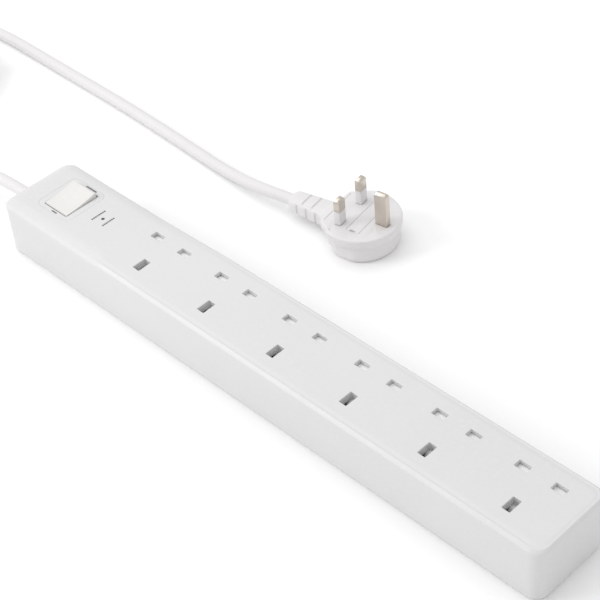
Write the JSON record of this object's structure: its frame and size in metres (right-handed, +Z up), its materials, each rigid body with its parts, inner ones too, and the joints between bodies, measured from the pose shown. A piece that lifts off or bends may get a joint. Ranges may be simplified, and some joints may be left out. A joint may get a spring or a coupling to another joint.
{
  "type": "switched extension lead",
  "caption": "Slim power strip with a row of shuttered sockets, a rocker switch, surge protection, and a cord that ends in a moulded plug with flat pins.",
  "frame": {"origin": "middle of the strip's underside, on the surface it stands on", "axes": "+X along the strip away from the cord, +Y towards the line and neutral slots, +Z up out of the sockets"},
  "size_m": [0.6401, 0.1655, 0.0407],
  "materials": {
    "cover_plastic": "fine moulded satin",
    "base_plastic": "fine moulded matt",
    "rocker_plastic": "smooth",
    "shutter_plastic": "moulded",
    "nylon": "moulded nylon",
    "brass": "stamped sheet",
    "steel": "zinc plated",
    "nickel": "satin nickel plate",
    "flex_plastic": "soft moulded PVC",
    "tie_black": "woven strap",
    "lens_dark": "smooth, unlit",
    "ceramic": "glazed ceramic",
    "board_green": "circuit board",
    "varistor_blue": "epoxy dip",
    "wire_brown": "insulation",
    "wire_blue": "insulation",
    "wire_green": "insulation"
  },
  "bodies": {
    "housing": {"base_cover": "base_plastic", "base_screw_1": "steel", "base_screw_2": "steel", "base_screw_3": "steel", "base_screw_4": "steel", "base_screw_5": "steel", "base_screw_6": "steel", "clamp_screw_1": "steel", "clamp_screw_2": "steel", "contact_carrier": "nylon", "cord_at_plug": "flex_plastic", "cord_at_strip": "flex_plastic", "cord_clamp": "nylon", "cord_coil": "flex_plastic", "cord_gland": "base_plastic", "cord_tie": "tie_black", "earth_contact_rail": "brass", "earth_pin": "nickel", "earth_wire": "wire_green", "fuse_clip_1": "brass", "fuse_clip_2": "brass", "indicator_lamp": "ceramic", "indicator_lens": "lens_dark", "lamp_resistor": "ceramic", "line_pin": "nickel", "line_pin_sleeve": "flex_plastic", "live_contact_rail": "brass", "live_wire": "wire_brown", "neutral_contact_rail": "brass", "neutral_pin": "nickel", "neutral_pin_sleeve": "flex_plastic", "neutral_wire": "wire_blue", "plug_body": "flex_plastic", "plug_strain_relief": "flex_plastic", "shutter_spring_1": "steel", "shutter_spring_2": "steel", "shutter_spring_3": "steel", "shutter_spring_4": "steel", "shutter_spring_5": "steel", "shutter_spring_6": "steel", "surge_board": "board_green", "switch_housing": "cover_plastic", "switch_terminal_in": "brass", "switch_terminal_out": "brass", "switched_wire": "wire_brown", "thermal_fuse": "ceramic", "top_cover": "cover_plastic", "varistor_1": "varistor_blue", "varistor_2": "varistor_blue", "varistor_3": "varistor_blue"},
    "switch_rocker": {"switch_rocker": "rocker_plastic"},
    "switch_contact": {"switch_contact": "brass"},
    "fuse_carrier": {"fuse_carrier": "flex_plastic", "plug_fuse": "ceramic"},
    "shutter_1": {"shutter_1": "shutter_plastic"},
    "shutter_2": {"shutter_2": "shutter_plastic"},
    "shutter_3": {"shutter_3": "shutter_plastic"},
    "shutter_4": {"shutter_4": "shutter_plastic"},
    "shutter_5": {"shutter_5": "shutter_plastic"},
    "shutter_6": {"shutter_6": "shutter_plastic"}
  },
  "joints": [
    {"name": "rocker_tilt", "type": "hinge", "parent": "housing", "child": "switch_rocker", "pos_m": [-0.1685, 0.0014, 0.033], "axis": [-1, 0, 0], "range_deg": [0, 14.4]},
    {"name": "contact_tilt", "type": "hinge", "parent": "housing", "child": "switch_contact", "pos_m": [-0.1685, 0.0014, 0.021], "axis": [1, 0, 0], "range_deg": [0, 14.4]},
    {"name": "shutter_slide_1", "type": "slide", "parent": "housing", "child": "shutter_1", "axis": [0, 1, 0], "range_m": [0, 0.0063], "stiffness_N_per_m": 120, "springref_m": -0.004, "deforming": ["shutter_spring_1"]},
    {"name": "shutter_slide_2", "type": "slide", "parent": "housing", "child": "shutter_2", "axis": [0, 1, 0], "range_m": [0, 0.0063], "stiffness_N_per_m": 120, "springref_m": -0.004, "deforming": ["shutter_spring_2"]},
    {"name": "shutter_slide_3", "type": "slide", "parent": "housing", "child": "shutter_3", "axis": [0, 1, 0], "range_m": [0, 0.0063], "stiffness_N_per_m": 120, "springref_m": -0.004, "deforming": ["shutter_spring_3"]},
    {"name": "shutter_slide_4", "type": "slide", "parent": "housing", "child": "shutter_4", "axis": [0, 1, 0], "range_m": [0, 0.0063], "stiffness_N_per_m": 120, "springref_m": -0.004, "deforming": ["shutter_spring_4"]},
    {"name": "shutter_slide_5", "type": "slide", "parent": "housing", "child": "shutter_5", "axis": [0, 1, 0], "range_m": [0, 0.0063], "stiffness_N_per_m": 120, "springref_m": -0.004, "deforming": ["shutter_spring_5"]},
    {"name": "shutter_slide_6", "type": "slide", "parent": "housing", "child": "shutter_6", "axis": [0, 1, 0], "range_m": [0, 0.0063], "stiffness_N_per_m": 120, "springref_m": -0.004, "deforming": ["shutter_spring_6"]},
    {"name": "fuse_carrier_pull", "type": "slide", "parent": "housing", "child": "fuse_carrier", "axis": [0, 0, 1], "range_m": [0, 0.012]}
  ],
  "couplings": [
    {"joint": "contact_tilt", "follows": "rocker_tilt", "ratio": 1}
  ]
}
